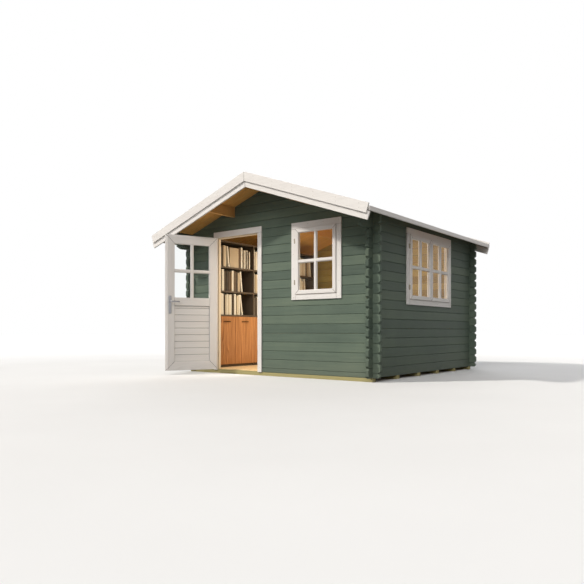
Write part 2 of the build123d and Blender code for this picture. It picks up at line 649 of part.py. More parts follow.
def bookcase():
    back = -HALF_WIDTH + LOG_THICKNESS + CASE_WALL_GAP
    front = back + CASE_DEPTH
    floor_top = BASE + FLOOR_THICKNESS
    top = floor_top + CASE_HEIGHT
    carcass, shelves, doors, pulls = [], [], [], []
    for i in range(CASE_BAYS + 1):
        y = CASE_START + i * CASE_BAY_WIDTH
        carcass.append(box(back, front, y, y + CASE_BOARD, floor_top, top))
    carcass.append(box(back, front, CASE_START, CASE_START + CASE_LENGTH, top + FIT, top + FIT + CASE_BOARD))
    for i in range(CASE_BAYS):
        y0 = CASE_START + i * CASE_BAY_WIDTH + CASE_BOARD + FIT
        y1 = y0 + CASE_BAY_WIDTH - CASE_BOARD - 2 * FIT
        carcass.append(box(back, back + CASE_BOARD / 2, y0, y1, floor_top + CASE_DOOR_TOP, top))
        carcass.append(box(front - 2 * CASE_BOARD, front - CASE_BOARD, y0, y1, floor_top,
                           floor_top + CASE_PLINTH - FIT))
        for height in (CASE_DOOR_TOP,) + CASE_SHELVES:
            shelves.append(box(back + CASE_BOARD / 2 + FIT, front, y0, y1, floor_top + height - CASE_BOARD,
                               floor_top + height))
        door_width = (y1 - y0 - 3 * CASE_DOOR_GAP) / 2
        door_top = floor_top + CASE_DOOR_TOP - CASE_BOARD - CASE_DOOR_GAP
        for j in range(2):
            door_y = y0 + CASE_DOOR_GAP + j * (door_width + CASE_DOOR_GAP)
            doors.append(box(front - CASE_BOARD, front, door_y, door_y + door_width,
                             floor_top + CASE_PLINTH, door_top))
            pull_y = door_y + (door_width - PULL_LENGTH) / 2
            pull_z = door_top - PULL_DROP
            pulls.append(box(front + FIT, front + PULL_DEPTH, pull_y, pull_y + PULL_LENGTH, pull_z,
                             pull_z + PULL_WIDTH))
    save("bookcase_carcass", carcass)
    save("bookcase_shelves", shelves)
    save("bookcase_doors", doors)
    save("bookcase_pulls", pulls)


base()
walls()
roof()
windows()
door_frame()
door_leaf()
door_hinges()
bookcase()
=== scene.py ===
# %% [markdown]
# # A small log cabin
# The cabin comes to Blender as a fixed frame of solids: logs, bearers, frames, sashes, the door and its
# hinges. This lesson dresses it. Solids whose shape is already right get a paint or a wood, and boards,
# glazing bars, felt, handles, nails and books are worked out here as surfaces. All lengths are metres.

# %% Load the frame
import json
from math import cos, radians, sin, tan

import bmesh
import bpy
import numpy as np
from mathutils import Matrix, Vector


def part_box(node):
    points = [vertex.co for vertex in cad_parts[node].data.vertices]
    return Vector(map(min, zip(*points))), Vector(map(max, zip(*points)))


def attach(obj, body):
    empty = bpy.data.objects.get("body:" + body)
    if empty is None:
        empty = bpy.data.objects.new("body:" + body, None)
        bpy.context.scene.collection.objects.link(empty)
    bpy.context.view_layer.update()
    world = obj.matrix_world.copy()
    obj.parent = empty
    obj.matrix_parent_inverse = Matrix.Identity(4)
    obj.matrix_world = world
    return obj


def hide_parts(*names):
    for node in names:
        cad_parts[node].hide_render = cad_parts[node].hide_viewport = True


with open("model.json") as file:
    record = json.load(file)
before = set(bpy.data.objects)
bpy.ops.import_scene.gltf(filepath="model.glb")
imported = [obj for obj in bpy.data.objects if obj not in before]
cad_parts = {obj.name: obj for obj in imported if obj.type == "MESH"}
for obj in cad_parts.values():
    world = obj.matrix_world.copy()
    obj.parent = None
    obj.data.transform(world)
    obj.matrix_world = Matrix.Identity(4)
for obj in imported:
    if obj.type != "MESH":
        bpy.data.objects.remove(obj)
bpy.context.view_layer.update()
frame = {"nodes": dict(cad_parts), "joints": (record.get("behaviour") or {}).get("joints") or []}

nodes = frame["nodes"]


def show(name, data):
    """Puts a camera, a lamp or a mesh into the scene."""
    thing = bpy.data.objects.new(name, data)
    bpy.context.scene.collection.objects.link(thing)
    return thing


print("nodes in the frame:", len(nodes))

# %% [markdown]
# ## The camera
# The cabin is seen from its front right corner, from a low seat's height, and its upright edges stay
# upright. So the camera looks level, and a small shift moves the picture up instead of a tilt. Its lens
# is known by a focal length and a horizon in pixels, which a sensor's width turns into millimetres.

# %% Camera
PICTURE, FOCAL, HORIZON = 584, 589.74, 330.8
SENSOR = 36
EYE, HEADING = (4.9337, -5.9115, 0.5886), radians(37.956)


def make_camera():
    lens = bpy.data.cameras.new("camera")
    lens.sensor_width = SENSOR
    lens.lens = SENSOR * FOCAL / PICTURE
    lens.shift_y = (HORIZON - PICTURE / 2) / PICTURE
    camera = show("camera", lens)
    camera.location = EYE
    camera.rotation_euler = (radians(90), 0, HEADING)
    bpy.context.scene.camera = camera
    print("lens", round(lens.lens, 2), "mm")


make_camera()

# %% [markdown]
# ## Shader sums as plain arithmetic
# A paint or a wood is a sum of patterns: growth rings, streaks, a tone for each board. Written node by
# node such a sum is hard to read. Here one small class wraps a socket, and adding or multiplying two of
# them adds the Math node, also when the left one is a plain number, as in 1 - mask.

# %% Numbers between nodes
def sign(operation, reflected=False):
    """A method that adds one Math node, fed with the other value first if it is reflected."""
    def method(wire, other=0.0):
        first, second = (other, wire) if reflected else (wire, other)
        return wire.tree.add("ShaderNodeMath", {"operation": operation}, {0: first, 1: second})
    return method


class Wire:
    """A value on its way between nodes. Arithmetic on it adds Math nodes."""

    __add__, __radd__ = sign("ADD"), sign("ADD", reflected=True)
    __sub__, __rsub__ = sign("SUBTRACT"), sign("SUBTRACT", reflected=True)
    __mul__, __rmul__ = sign("MULTIPLY"), sign("MULTIPLY", reflected=True)
    __truediv__, __rtruediv__ = sign("DIVIDE"), sign("DIVIDE", reflected=True)
    __pow__, __rpow__ = sign("POWER"), sign("POWER", reflected=True)
    __gt__, __lt__ = sign("GREATER_THAN"), sign("LESS_THAN")
    __abs__, floor, part = sign("ABSOLUTE"), sign("FLOOR"), sign("FRACT")

    def __init__(self, tree, socket):
        self.tree, self.socket = tree, socket

    def clamp(self):
        """Kept between 0 and 1."""
        return self.tree.add("ShaderNodeClamp", None, {0: self})


print("a wire knows", sum(callable(value) for value in vars(Wire).values()), "methods")

# %% [markdown]
# ## One method for every other node
# The add method takes the kind of node, its settings, and values or wires for its sockets. The patterns
# that come again and again, such as noise, a ramp or a blend, are one line each on top of it, so that a
# finish further down reads like a list of ingredients.

# %% Nodes from one method
class Nodes:
    """A tree of nodes in the making."""

    def __init__(self, tree):
        self.tree = tree

    def plug(self, socket, value):
        """A link if the value is a wire, or else the socket's own value."""
        if isinstance(value, Wire):
            self.tree.links.new(value.socket, socket)
        else:
            socket.default_value = value

    def add(self, kind, settings=None, sockets=None, out=0):
        """Adds a node: its settings first, then the values or wires of its sockets."""
        node = self.tree.nodes.new(kind)
        for name, value in (settings or {}).items():
            if name == "stops":
                self.set_stops(node.color_ramp, value)
            else:
                setattr(node, name, value)
        for key, value in (sockets or {}).items():
            self.plug(node.inputs[key], value)
        return Wire(self, node.outputs[out])

    @staticmethod
    def set_stops(ramp, stops):
        while len(ramp.elements) < len(stops):
            ramp.elements.new(1.0)
        for element, (place, colour) in zip(ramp.elements, stops):
            element.position = place
            element.color = (*colour, 1.0)

    def here(self):
        return self.add("ShaderNodeTexCoord", out="Object")

    def attribute(self, name, out="Fac"):
        return self.add("ShaderNodeAttribute", {"attribute_name": name}, out=out)

    def stretch(self, vector, scale):
        return self.add("ShaderNodeMapping", None, {"Vector": vector, "Scale": scale})

    def axes(self, vector):
        """The X, Y and Z of a vector as three wires."""
        node = self.add("ShaderNodeSeparateXYZ", None, {0: vector}).socket.node
        return [Wire(self, output) for output in node.outputs]

    def length(self, vector):
        return self.add("ShaderNodeVectorMath", {"operation": "LENGTH"}, {0: vector}, out="Value")

    def noise(self, vector, scale, detail=4.0, roughness=0.55):
        return self.add("ShaderNodeTexNoise", None,
                        {"Vector": vector, "Scale": scale, "Detail": detail, "Roughness": roughness})

    def spots(self, vector, scale):
        """The distance from the nearest of many scattered points, such as knots."""
        return self.add("ShaderNodeTexVoronoi", {"feature": "F1"}, {"Vector": vector, "Scale": scale})

    def chance(self, number):
        """A steady random number from 0 to 1 for each whole number."""
        return self.add("ShaderNodeTexWhiteNoise", {"noise_dimensions": "1D"}, {"W": number})

    def seen(self):
        """1 for rays from the camera and those that glass or metal passes on, or else 0."""
        camera, through, mirrored = (self.add("ShaderNodeLightPath", out=f"Is {kind} Ray")
                                     for kind in ("Camera", "Transmission", "Glossy"))
        return (camera + through + mirrored).clamp()

    def ramp(self, factor, *stops):
        return self.add("ShaderNodeValToRGB", {"stops": stops}, {0: factor})

    def blend(self, factor, first, second):
        """Mixes two colours."""
        return self.add("ShaderNodeMix", {"data_type": "RGBA"}, {0: factor, 6: first, 7: second}, out=2)


print("patterns ready: noise, spots, chance, ramp, blend")

# %% [markdown]
# ## Materials
# A recipe is a material in the making. Its last step is the same for paint, wood, metal and felt: a
# colour, a roughness, and a height that a Bump node turns into a rough feel. Colours are written as a
# screen shows them and turned into amounts of light.

# %% Recipes for materials
class Recipe(Nodes):
    """One Principled shader and the nodes that feed it."""

    def __init__(self, name, **constants):
        self.material = bpy.data.materials.new(name)
        self.material.use_nodes = True
        super().__init__(self.material.node_tree)
        self.shader = self.tree.nodes["Principled BSDF"]
        for socket, value in constants.items():
            self.shader.inputs[socket.replace("_", " ")].default_value = value

    def finish(self, colour, roughness, height, relief):
        """Feeds the shader with a colour, a roughness, and a height from 0 to 1 in steps of relief."""
        bump = self.add("ShaderNodeBump", None, {"Height": height, "Distance": relief, "Strength": 1.0})
        for socket, value in (("Base Color", colour), ("Roughness", roughness), ("Normal", bump)):
            self.plug(self.shader.inputs[socket], value)
        return self.material


def tint(red, green, blue):
    """A colour as a screen shows it, from 0 to 255, turned into light by a screen's usual curve."""
    part = np.array([red, green, blue]) / 255
    return tuple(np.where(part <= 0.04045, part / 12.92, ((part + 0.055) / 1.055) ** 2.4).tolist())


def solid(colour, share=1.0):
    return (*(share * c for c in colour), 1.0)


def dress(material, *names):
    """Gives a material to solids of the frame."""
    for name in names:
        for slot in nodes[name].material_slots:
            slot.material = material


BLACK, WHITE = solid((0, 0, 0)), solid((1, 1, 1))
print("middle grey as light:", round(tint(128, 128, 128)[0], 3))

# %% [markdown]
# ## Light
# Three suns work like a studio's key, fill and back light. The key is at the front left, so the roof's
# edge draws its shadow across the front wall. The fill is broad and comes from the front right, and the
# back light keeps the rear from going black. Four soft warm lamps inside the room show the shelves, the
# roof boards and the side window's reveal through the panes. They are hidden from the camera, glass and
# metal, and they hang clear of the roof, or their light would leak out.

# %% Lamps
def make_lamp(name, kind, energy, colour, travel, place=(0, 0, 0), **settings):
    """A lamp shines down its own -Z, and is turned so that its light travels along a direction."""
    light = bpy.data.lights.new(name, kind)
    light.energy, light.color = energy, colour
    for key, value in settings.items():
        setattr(light, key, value)
    lamp = show(name, light)
    lamp.location = place
    x, y, z = np.array(travel, float) / np.linalg.norm(travel)
    lamp.rotation_euler = (float(np.arccos(-z)), 0.0, float(np.arctan2(-x, y)))
    return lamp


make_lamp("key", "SUN", 2.35, (1.0, 0.955, 0.885), (406, 490, -491), angle=radians(3))
make_lamp("fill", "SUN", 1.6, (0.985, 0.97, 0.97), (-0.30, 0.76, -0.58), angle=radians(50))
make_lamp("back", "SUN", 0.8, (0.95, 0.97, 1.0), (0.42, -0.74, -0.52), angle=radians(50))
# Name, power, colour, direction of travel, place, and the two sides of the lamp.
for name, power, colour, travel, place, wide, high in (
        ("room_side", 4, (1.0, 0.97, 0.88), (-1, 0, 0), (1.1, 0.9, 1.1), 1.4, 1.2),
        ("room_low", 11, (1.0, 0.97, 0.86), (-0.2, 0, 1), (0.1, 1.1, 0.3), 1.6, 1.6),
        ("room_high", 20, (1.0, 0.96, 0.87), (-0.3, -0.1, -1), (0.1, 0.8, 1.72), 0.9, 1.2),
        ("room_window", 6, (1.0, 0.95, 0.84), (0.8, 0.75, -0.05), (0.45, 0.75, 1.45), 0.4, 0.4)):
    lamp = make_lamp(name, "AREA", power, colour, travel, place, shape="RECTANGLE", size=wide, size_y=high)
    lamp.visible_camera = lamp.visible_glossy = lamp.visible_transmission = False
bpy.context.scene.view_settings.view_transform = "Standard"

# %% [markdown]
# ## World and floor
# Rays from the camera, and those that glass or metal passes on, meet a white world, which is a strength
# of 1, and a pale floor that fades to the same white far off, so that no horizon shows. Rays that only
# carry light meet a dimmer world and a greyer floor, so the white room doesn't wash out the paint's depth.

# %% White room
DIM_WORLD, DIM_FLOOR = 0.20, 0.25
FLOOR_REACH, FADE_START, FADE_WIDTH = 60.0, 5.0, 9.0


def make_world():
    world = bpy.data.worlds.new("room")
    bpy.context.scene.world = world
    world.use_nodes = True
    mix = Nodes(world.node_tree)
    back = mix.tree.nodes["Background"]
    back.inputs["Color"].default_value = WHITE
    mix.plug(back.inputs["Strength"], mix.seen() * (1.0 - DIM_WORLD) + DIM_WORLD)


def make_floor():
    """A square on the ground. Its white share is (distance - start) / width, for rays that are seen."""
    mesh = bpy.data.meshes.new("studio_floor")
    corners = [(x * FLOOR_REACH, y * FLOOR_REACH, 0) for x, y in ((-1, -1), (1, -1), (1, 1), (-1, 1))]
    mesh.from_pydata(corners, [], [(0, 1, 2, 3)])
    mix = Recipe("pale_floor", Emission_Strength=1.0)
    cloud = mix.noise(mix.here(), 0.6, 3.0)
    pale = mix.ramp(cloud, (0.3, (0.80, 0.797, 0.79)), (0.7, (0.83, 0.827, 0.82)))
    seen = mix.seen()
    colour = mix.blend(seen, solid((DIM_FLOOR,) * 3), pale)
    far = ((mix.length(mix.here()) - FADE_START) / FADE_WIDTH).clamp() * seen
    mix.plug(mix.shader.inputs["Emission Color"], mix.blend(far, BLACK, WHITE))
    mesh.materials.append(mix.finish(mix.blend(far, colour, BLACK), 0.85, cloud, 0.0001))
    show("studio_floor", mesh)


make_world()
make_floor()
print("floor fades from", FADE_START, "to", FADE_START + FADE_WIDTH, "m")

# %% [markdown]
# ## Painted logs
# The logs are spruce under an opaque green-grey paint. The brush leaves streaks along the log, each log
# takes the paint a little differently, dust and painted shade darken the seams, and rain splash dulls the
# lowest courses. Indoors the same logs are bare. Paint and bare wood share one material, and the place
# in the wall decides: nearer to the room than the middle of a log's thickness, it is bare. The bearers
# end at the walls' outer faces and carry the first course, so their box says where the walls are.

# %% Log paint and bare logs
(_, FRONT, _), (HALF_WIDTH, REAR, BASE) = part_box("floor_bearers")
PITCH, THICK = 0.114, 0.040
SPLASH, SEAM = 0.30, 0.0030
ALONG_LOG = 0.045


def bare_pine(mix, where, tone):
    """Bent growth bands, fine streaks, a tone for each log and a few knots."""
    dark = tint(138, 114, 56)
    bands = mix.noise(where, 14.0, 5.0, 0.65)
    streaks = mix.noise(where, 80.0, 3.0, 0.5)
    amount = (bands * 0.9 + streaks * 0.35 + tone * 0.5 - 0.55).clamp()
    wood = mix.blend(amount, solid(tint(196, 174, 104)), solid(dark))
    knot = (1.0 - mix.spots(where, 3.2) / 0.085).clamp()
    return mix.blend(knot * 0.75, wood, solid(dark, 0.35))


def log_material(name, stretch, half_course, share=1.0):
    """Stretch is small along the log and 1 across it. A share below 1 darkens the paint, as painted shade.
    """
    mix = Recipe(name, Specular_IOR_Level=0.12)
    place = mix.here()
    x, y, z = mix.axes(place)
    level = (z - BASE) / PITCH + half_course
    course = level.floor()
    tone = mix.chance(course + 7.0)
    shift = mix.add("ShaderNodeCombineXYZ", None, {0: tone * 3.0, 1: tone * 3.0, 2: course * 0.37})
    along = mix.add("ShaderNodeVectorMath", {"operation": "ADD"}, {0: mix.stretch(place, stretch), 1: shift})
    grain = mix.noise(along, 30.0, 6.0, 0.65)
    fine = mix.noise(along, 220.0, 3.0, 0.6)
    cloud = mix.noise(place, 1.3, 4.0)
    light = tone * 0.22 + grain * 0.38 + cloud * 0.40
    paint = mix.ramp(light, *((at, solid(tint(*colour), share)[:3]) for at, colour in (
        (0.30, (80, 92, 82)), (0.5, (94, 107, 94)), (0.70, (109, 121, 104)))))
    splash = (1.0 - (z - BASE) / SPLASH).clamp() * cloud * 0.5
    paint = mix.blend(splash, paint, solid(tint(104, 106, 92)))
    # Dust and painted shade darken the seams between logs, on the paint and on the bare wood.
    seam = (1.0 - (0.5 - abs(level.part() - 0.5)) * (PITCH / SEAM)).clamp()
    paint = mix.blend(seam * 0.2, paint, solid(tint(34, 42, 36)))
    bare = mix.blend(seam * 0.8, bare_pine(mix, along, tone), solid(tint(84, 56, 28)))
    inside = (abs(x) < HALF_WIDTH - THICK / 2) * (y > FRONT + THICK / 2) * (y < REAR - THICK / 2)
    return mix.finish(mix.blend(inside, paint, bare), grain * 0.22 + 0.40 + inside * 0.08,
                      grain * 0.7 + fine * 0.3, 0.0014)


front_logs = log_material("painted_front_logs", (ALONG_LOG, 1, 1), 0.5)
# The side walls take the same paint at 0.82 of its colour, as painted shade.
side_logs_with_painted_shade = log_material("painted_side_logs_with_painted_shade", (1, ALONG_LOG, 1), 0.0, 0.82)
dress(front_logs, "front_wall_left", "front_wall_right", "front_gable", "rear_wall", "rear_gable")
dress(side_logs_with_painted_shade, "left_wall", "right_wall")
print("walls reach from y", round(FRONT, 3), "to", round(REAR, 3))

# %% [markdown]
# ## From arrays to pieces
# Every new piece is a grid of points worked out at once: x, y and z are arrays whose rows and columns
# stretch over one another. The points are numbered row by row, so the same few lines of index arithmetic
# give the faces of any grid, open or wrapped round.

# %% Grids of points and their faces
def grid(x, y, z):
    """Points in rows and columns, from arrays of each coordinate."""
    return np.stack(np.broadcast_arrays(x, y, z), -1)


def grid_faces(rows, columns, wrap_rows=False, wrap_columns=False):
    """Quads between neighbours of a grid of rows x columns, as point numbers."""
    r = np.arange(rows if wrap_rows else rows - 1)[:, None]
    c = np.arange(columns if wrap_columns else columns - 1)[None, :]
    below, beside = (r + 1) % rows, (c + 1) % columns
    corners = (r * columns + c, r * columns + beside, below * columns + beside, below * columns + c)
    return np.stack(np.broadcast_arrays(*corners), -1).reshape(-1, 4).tolist()


def tube_faces(rows, columns):
    """Faces of rings of points in a row, closed at both ends."""
    last = (rows - 1) * columns
    return grid_faces(rows, columns, wrap_columns=True) + [list(range(columns)),
                                                           list(range(last, last + columns))]


def make_piece(name, mesh, material, slot, body="cabin", smooth=False, replaces=()):
    """Hangs a finished mesh on a body of the cabin."""
    mesh.polygons.foreach_set("use_smooth", [smooth] * len(mesh.polygons))
    mesh.materials.clear()
    mesh.materials.append(material)
    thing = show(name, mesh)
    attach(thing, body)
    if replaces:
        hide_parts(*replaces)
    print(name, len(mesh.polygons), "faces")


print("faces of a tube of three square rings:", len(tube_faces(3, 4)))

# %% [markdown]
# ## Every board has its own grain
# Wood looks like wood when its grain runs along each board and no two boards match. So each board's
# points carry two values for its material: grain, which is how far along, across and into the board a
# point lies, moved by a jump of the board's own, and tone, a number from 0 to 1 for the whole board.

# %% Shells with grain and tone
def own_tone(number, start):
    """Steps of 0.618 round a circle, which keep the tones of neighbours apart."""
    return np.mod(number * 0.618 + start, 1.0)


def jump(tone):
    """Moves each board's pattern elsewhere: far along the trunk, and off its heart."""
    return np.stack([tone * 61.7, 0.05 + tone * 0.11, 0.03 + np.mod(tone * 7.3, 1) * 0.09], -1)


def write_grain(mesh, grain, tone, dust, dust_and_shade_domain="POINT"):
    values = mesh.attributes.new("grain", "FLOAT_VECTOR", "POINT")
    values.data.foreach_set("vector", np.asarray(grain, np.float32).ravel())
    for name, numbers, where in (("tone", tone, "POINT"), ("dust", dust, dust_and_shade_domain)):
        values = mesh.attributes.new(name, "FLOAT", where)
        values.data.foreach_set("value", np.asarray(numbers, np.float32))


class Pile:
    """Points and faces of many shells, gathered into one piece."""

    def __init__(self):
        self.shells, self.faces, self.count = [], [], 0

    def put(self, points, faces, tone=0.0, along=0, place=np.copy, dust=0.0):
        """Along is the axis that the grain follows. Tone, and the darkening by dust and painted shade, are
        one number, or one for each point.
        Place moves the points after their grain is known, and only copies them if it isn't given."""
        flat = np.asarray(points, float).reshape(-1, 3)
        tones, dust_and_shade_values = (np.broadcast_to(number, len(flat)).astype(float) for number in (tone, dust))
        self.shells.append((place(flat), np.roll(flat, -along, 1) + jump(tones), tones, dust_and_shade_values))
        self.faces += [[self.count + i for i in face] for face in faces]
        self.count += len(flat)

    def tube(self, rings, tone=0.0, **rest):
        """Puts rings of points in a row under one skin, closed at both ends."""
        self.put(rings, tube_faces(*rings.shape[:2]), tone, **rest)

    def piece(self, name, material, slot, **rest):
        points, *values = (np.concatenate(part) for part in zip(*self.shells))
        mesh = bpy.data.meshes.new(name)
        mesh.from_pydata(points.tolist(), [], self.faces)
        write_grain(mesh, *values)
        shell = bmesh.new()
        shell.from_mesh(mesh)
        bmesh.ops.recalc_face_normals(shell, faces=shell.faces)
        shell.to_mesh(mesh)
        shell.free()
        make_piece(name, mesh, material, slot, **rest)


print("tones of four neighbours:", own_tone(np.arange(4), 0.0).round(2))

# %% [markdown]
# ## Wood out of growth rings
# A trunk is a stack of growth rings round its heart. A board is a flat cut through them, so its face
# shows lines where rings run along it and tall arches where they dip. The recipe does the same: the
# distance from the heart, bent by slow noise, is cut into rings, and each ring fades from pale early wood
# to dark late wood. White paint over it hides the colour, but the rings still show as faint ridges.

# %% Timber recipe
RING = 0.0075


def timber(name, light, dark, rings=0.6, knots=0.7, spread=0.25, rough=0.5, relief=0.0006, shine=0.35,
           flame=0.0):
    """Rings is how far late wood darkens, spread how far boards differ, flame how bold broad streaks are."""
    mix = Recipe(name, Specular_IOR_Level=shine)
    grain, tone, dust = mix.attribute("grain", "Vector"), mix.attribute("tone"), mix.attribute("dust")
    bend = mix.noise(mix.stretch(grain, (0.22, 1, 1)), 7.0, 2.0, 0.4)
    heart = mix.length(mix.stretch(grain, (0, 1, 1)))
    ring = ((heart + bend * 0.055) / RING).part()
    late = (ring ** 2.2) * (1.0 - ring ** 14.0)
    streak = mix.noise(mix.stretch(grain, (0.02, 1, 1)), 240.0, 3.0, 0.6)
    cloud = mix.noise(mix.stretch(grain, (0.12, 1, 1)), 9.0, 4.0, 0.6)
    knot = (1.0 - mix.spots(mix.stretch(grain, (0.55, 1, 0)), 4.2) / 0.045).clamp()
    amount = late * rings + streak * 0.22 + cloud * 0.35 - 0.16
    if flame:
        amount += (mix.noise(mix.stretch(grain, (0.04, 1, 1)), 42.0, 3.0, 0.7) - 0.5) * flame
    wood = mix.blend(amount.clamp(), solid(light), solid(dark))
    # Board tone and knots darken the wood, and dust and painted shade darken its joints and grooves.
    for share, depth in (((1.0 - tone) * spread, 1.0), (knot * knots, 0.4), (dust * 0.9, 0.12)):
        wood = mix.blend(share, wood, solid(dark, depth))
    return mix.finish(wood, late * 0.08 + streak * 0.10 + (rough - 0.09), late * 0.6 + streak * 0.4, relief)


white = timber("white_paint", tint(234, 230, 225), tint(200, 193, 186), rings=0.34, knots=0.05,
               spread=0.10, rough=0.42, relief=0.0008, shine=0.3, flame=0.5)
soffit_pine = timber("roof_board_pine", tint(234, 180, 102), tint(178, 118, 54))
beam_pine = timber("purlin_pine", tint(220, 172, 106), tint(182, 124, 64), rings=0.5)
floor_pine = timber("floor_pine", tint(240, 214, 166), tint(208, 168, 112), rings=0.5, knots=0.5)
frame_pine = timber("frame_pine", tint(238, 222, 194), tint(214, 186, 144), rings=0.4, knots=0.4)
treated = timber("treated_wood", tint(172, 162, 112), tint(126, 116, 74), rings=0.5, knots=0.5,
                 spread=0.3, rough=0.7)
dark_board = timber("dark_board", tint(104, 90, 74), tint(62, 52, 42), rings=0.5, knots=0.0,
                    spread=0.2, rough=0.45)
oak = timber("oak_veneer", tint(204, 144, 90), tint(112, 66, 34), rings=0.9, knots=0.5, rough=0.42,
             flame=1.8)
print("nodes in the oak:", len(oak.node_tree.nodes))

# %% [markdown]
# ## Planed boards with eased edges
# The frames, trims, sashes and edge boards already have their exact shape, but no real board has a razor
# edge: a plane or paint eases it, and that thin rounding is what catches the light and parts one board
# from the next. Each such solid is copied, its loose triangles are merged, and every sharp edge is
# bevelled. Points that are joined by edges belong to one board, and its longest side gives the grain.

# %% Boards in a node
NEAR_JOINT = 0.0045


def board_numbers(count, edges):
    """The lowest point that each point can reach along edges: labels fall until none changes."""
    label = np.arange(count)
    while True:
        low, new = label[edges].min(1), label.copy()
        np.minimum.at(new, edges[:, 0], low)
        np.minimum.at(new, edges[:, 1], low)
        new = new[new]
        if (new == label).all():
            return np.unique(label, return_inverse=True)[1].ravel()
        label = new


def board_grain(points, board, low, high):
    """Along, across and into each board, by its longest, middle and shortest side, and its tone."""
    order = np.argsort(low - high, axis=1)
    tone = own_tone(np.arange(len(low)), low.sum(1) * 3.7)
    middle = points - ((low + high) / 2)[board]
    return np.take_along_axis(middle, order[board], 1) + jump(tone)[board], tone[board]


def nearest(first, second, differ):
    """Distance from each point of first to the nearest of second, where differ allows the pair."""
    apart = np.linalg.norm(first[:, None] - second, axis=2)
    return np.where(differ, apart, 1.0).min(1)


def joint_dust_and_shade(points, board, low, high, loops, starts, strips):
    """Dust and painted shade for each face corner: 1 within 1.8 mm of another board, 0 beyond 3.8 mm, on the
    rounded strips of joints. A strip is at a joint if all of it is near one other board's box, or its middle
    near another's strip, as at a mitre, where the open V holds a little dust and painted shade over its
    whole width."""
    totals = np.diff(np.append(starts, len(loops)))
    middles = np.add.reduceat(points[loops], starts) / totals[:, None]
    owner = board[loops[starts]]
    beyond = np.maximum(low - points[:, None], points[:, None] - high)
    apart = np.maximum(low[:, None] - high, low - high[:, None]).max(2) > 0
    to_box = np.where(apart[board], np.linalg.norm(np.maximum(beyond, 0), axis=2), 1.0)
    butt = np.maximum.reduceat(to_box[loops], starts).min(1) < NEAR_JOINT
    mitre = nearest(middles, middles[strips], owner[:, None] != owner[strips]) < NEAR_JOINT
    close = np.minimum(to_box.min(1), nearest(points, points, board[:, None] != board))
    dust = np.clip(1.9 - close / 0.002, 0.0, 1.0)
    dust = np.maximum(dust[loops], np.repeat(mitre * 0.65, totals))
    return dust * np.repeat(strips & (butt | mitre), totals)


print("boards on two separate edges:", board_numbers(4, np.array([[0, 1], [2, 3]])).max() + 1)

# %% Ease the edges
EASE, SLIM_EASE = 0.0024, 0.001
SHORTEST = 0.003


def read(items, name, width, kind):
    """A property of all items as one array, width numbers for each."""
    values = np.empty(len(items) * width, kind)
    items.foreach_get(name, values)
    return values.reshape(-1, width) if width > 1 else values


def ease(name, node, material, slot, width=EASE, square=lambda p: p, **rest):
    """Copies a node's boards with rounded edges. Square turns them in line with the axes first.
    The rim of a round bore stays sharp: a bevel is never wider than its shortest edge allows."""
    mesh = nodes[node].data.copy()
    shell = bmesh.new()
    shell.from_mesh(mesh)
    bmesh.ops.remove_doubles(shell, verts=shell.verts, dist=0.00002)
    bmesh.ops.dissolve_limit(shell, angle_limit=radians(1), verts=shell.verts, edges=shell.edges)
    sharp = [edge for edge in shell.edges if edge.calc_face_angle() > radians(25)
             and edge.calc_length() > SHORTEST]
    strips = bmesh.ops.bevel(shell, geom=sharp, offset=width, segments=2, profile=0.5, affect="EDGES",
                             clamp_overlap=True)["faces"]
    bmesh.ops.recalc_face_normals(shell, faces=shell.faces)
    shell.faces.index_update()
    strips = [face.index for face in strips]
    shell.to_mesh(mesh)
    shell.free()
    points = square(read(mesh.vertices, "co", 3, np.float32).astype(float))
    board = board_numbers(len(points), read(mesh.edges, "vertices", 2, np.int32))
    low = np.full((board.max() + 1, 3), np.inf)
    high = -low
    np.minimum.at(low, board, points)
    np.maximum.at(high, board, points)
    is_strip = np.isin(np.arange(len(mesh.polygons)), strips)
    # Dust and painted shade darken the rounded strips where boards meet.
    dust = joint_dust_and_shade(points, board, low, high, read(mesh.loops, "vertex_index", 1, np.int32),
                      read(mesh.polygons, "loop_start", 1, np.int32), is_strip)
    write_grain(mesh, *board_grain(points, board, low, high), dust, "CORNER")
    make_piece(name, mesh, material, slot, replaces=[node], **rest)


for wood, slot, names in (
        (white, "white_paint", (
            "front_window_trim", "front_window_sash", "side_window_trim", "side_window_sash", "door_trim",
            "front_cover_boards", "rear_cover_boards", "front_barge_boards", "rear_barge_boards",
            "eave_board_left", "eave_board_right")),
        (beam_pine, "pine", ("purlin_left", "ridge_purlin", "purlin_right")),
        (frame_pine, "pine", ("door_frame", "front_window_frame", "side_window_frame"))):
    for node in names:
        ease("eased_" + node, node, wood, slot)
ease("eased_bearers", "floor_bearers", treated, "bearer")
ease("eased_sill", "door_sill", treated, "pine")
ease("eased_bookcase_carcass", "bookcase_carcass", dark_board, "case_wood", SLIM_EASE)
ease("eased_bookcase_shelves", "bookcase_shelves", dark_board, "case_wood", SLIM_EASE)
ease("eased_bookcase_doors", "bookcase_doors", oak, "case_door", SLIM_EASE)

# %% [markdown]
# ## Rows of tongued boards
# Roof, floor and the door's lower panel are tongued boards. What the eye sees is the small V along each
# joint, with a dark slit at its foot where the tongue begins. A row of boards is one profile, flat with
# a V at each joint, carried from one end of the boards to the other: real grooves that catch the light,
# and still only a few faces a board. Dust and painted shade darken each V towards its foot.

# %% The profile across a row of boards
HALF_SLIT = 0.0007
ROOF_BOARDS, FLOOR_BOARDS = 38, 33
ROOF_SLOPE = tan(radians(19.25))


